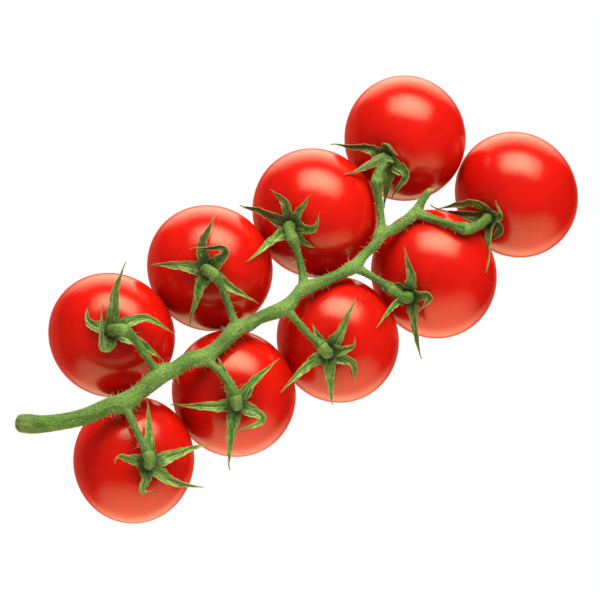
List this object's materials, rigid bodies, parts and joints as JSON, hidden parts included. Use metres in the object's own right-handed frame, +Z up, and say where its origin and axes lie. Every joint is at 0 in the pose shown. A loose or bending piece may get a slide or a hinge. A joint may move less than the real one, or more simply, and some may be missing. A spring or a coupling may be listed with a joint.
{
  "type": "truss of tomatoes",
  "caption": "Truss of small ripe round tomatoes laid on a table, each fruit held by its green calyx and jointed stalk to a shared bent green stem.",
  "frame": {"origin": "on the table, under the middle of the truss's bounding box", "axes": "+X along the main stem from its cut end to its withered tip; +Z up from the table that the fruit rest on; +Y to the left of +X"},
  "size_m": [0.1774, 0.0708, 0.0391],
  "materials": {
    "tomato_skin": "glossy, smooth ripe skin",
    "stem_green": "matte, finely hairy",
    "calyx_green": "matte, finely hairy leaf"
  },
  "bodies": {
    "root": {"truss_stem": "stem_green", "calyx_1": "calyx_green", "calyx_2": "calyx_green", "calyx_3": "calyx_green", "calyx_4": "calyx_green", "calyx_5": "calyx_green", "calyx_6": "calyx_green", "calyx_7": "calyx_green", "calyx_8": "calyx_green", "calyx_9": "calyx_green", "tomato_1": "tomato_skin", "tomato_2": "tomato_skin", "tomato_3": "tomato_skin", "tomato_4": "tomato_skin", "tomato_5": "tomato_skin", "tomato_6": "tomato_skin", "tomato_7": "tomato_skin", "tomato_8": "tomato_skin", "tomato_9": "tomato_skin"}
  },
  "joints": []
}
